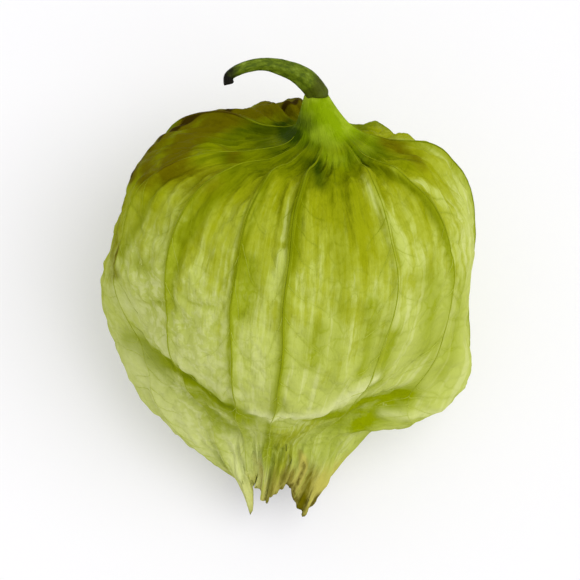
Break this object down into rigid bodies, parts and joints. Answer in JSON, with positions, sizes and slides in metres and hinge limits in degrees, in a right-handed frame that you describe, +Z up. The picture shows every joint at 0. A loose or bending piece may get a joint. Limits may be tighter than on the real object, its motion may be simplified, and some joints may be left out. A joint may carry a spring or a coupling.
{
  "type": "tomatillo",
  "caption": "Green tomatillo lying on its side: a round berry in its ribbed papery husk, open at the tip, with the short hooked stem it was picked with.",
  "frame": {"origin": "on the flat that the husk rests on, straight below the middle of the berry", "axes": "+Z up from the surface it lies on; +Y towards the stem end, -Y towards the open tip of the husk; +X to the right seen from above with the stem end away"},
  "size_m": [0.0501, 0.0574, 0.0419],
  "materials": {
    "husk": "thin papery leaf skin, pale yellow-green between darker green ribs, olive-brown and dry near the shoulder",
    "berry": "smooth waxy skin of a firm green berry",
    "stem": "matt green stalk, dark and dry at the broken end"
  },
  "bodies": {
    "root": {"husk": "husk", "berry": "berry", "stem": "stem"}
  },
  "joints": []
}
